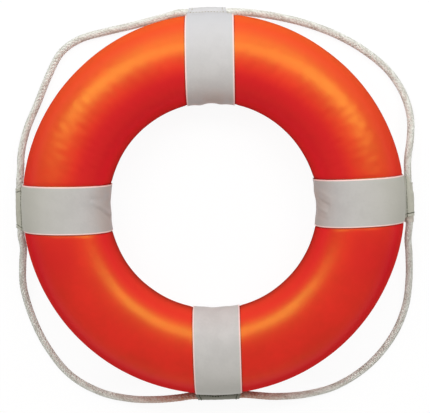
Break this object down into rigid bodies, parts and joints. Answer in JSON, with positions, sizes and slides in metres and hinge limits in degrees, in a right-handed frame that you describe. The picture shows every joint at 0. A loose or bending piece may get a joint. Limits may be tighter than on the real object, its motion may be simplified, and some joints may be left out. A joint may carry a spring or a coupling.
{
  "type": "life ring",
  "caption": "Ring buoy thrown to a swimmer: foam tube in an orange cover, with white bands and a grab rope looped round the rim through sewn sleeves.",
  "frame": {"origin": "on the ring's axis, at the surface it lies on, under the bands", "axes": "+Z along the ring's axis out of its front face, +Y to the band that is at the top when it hangs, +X to the ring's right as seen from the front"},
  "size_m": [0.6515, 0.6534, 0.117],
  "materials": {
    "cover": "orange vinyl-coated cover with a satin sheen",
    "band": "white vinyl-coated fabric, fine weave, slightly soiled",
    "sleeve": "white vinyl-coated fabric, folded and stitched",
    "rope": "cream braided synthetic rope",
    "binding": "pale twine wound tight over the rope",
    "foam": "closed-cell foam"
  },
  "bodies": {
    "ring": {"foam_core_front": "foam", "foam_core_rear": "foam", "cover_front": "cover", "cover_rear": "cover", "band_top": "band", "band_right": "band", "band_bottom": "band", "band_left": "band", "rope_sleeve_top": "sleeve", "rope_sleeve_right": "sleeve", "rope_sleeve_bottom": "sleeve", "rope_sleeve_left": "sleeve", "grab_line_at_top": "rope", "grab_line_at_left": "rope", "grab_line_at_bottom": "rope", "grab_line_end_lower": "rope", "grab_line_end_upper": "rope", "rope_end_binding": "binding"},
    "top_right_loop": {"grab_line_top_right": "rope"},
    "top_left_loop": {"grab_line_top_left": "rope"},
    "bottom_left_loop": {"grab_line_bottom_left": "rope"},
    "bottom_right_loop": {"grab_line_bottom_right": "rope"}
  },
  "joints": [
    {"name": "top_right_loop_swing", "type": "hinge", "parent": "ring", "child": "top_right_loop", "pos_m": [0.3142, 0.08917, 0.03723], "axis": [0.753, -0.6573, 0.0316], "range_deg": [0, 70]},
    {"name": "top_left_loop_swing", "type": "hinge", "parent": "ring", "child": "top_left_loop", "pos_m": [-0.08188, 0.30114, 0.02649], "axis": [0.7018, 0.7119, -0.0269], "range_deg": [0, 70]},
    {"name": "bottom_left_loop_swing", "type": "hinge", "parent": "ring", "child": "bottom_left_loop", "pos_m": [-0.3113, -0.07727, 0.03534], "axis": [-0.7137, 0.7004, -0.009], "range_deg": [0, 70]},
    {"name": "bottom_right_loop_swing", "type": "hinge", "parent": "ring", "child": "bottom_right_loop", "pos_m": [0.08061, -0.31627, 0.03849], "axis": [-0.6702, -0.7422, 0.0031], "range_deg": [0, 70]}
  ]
}
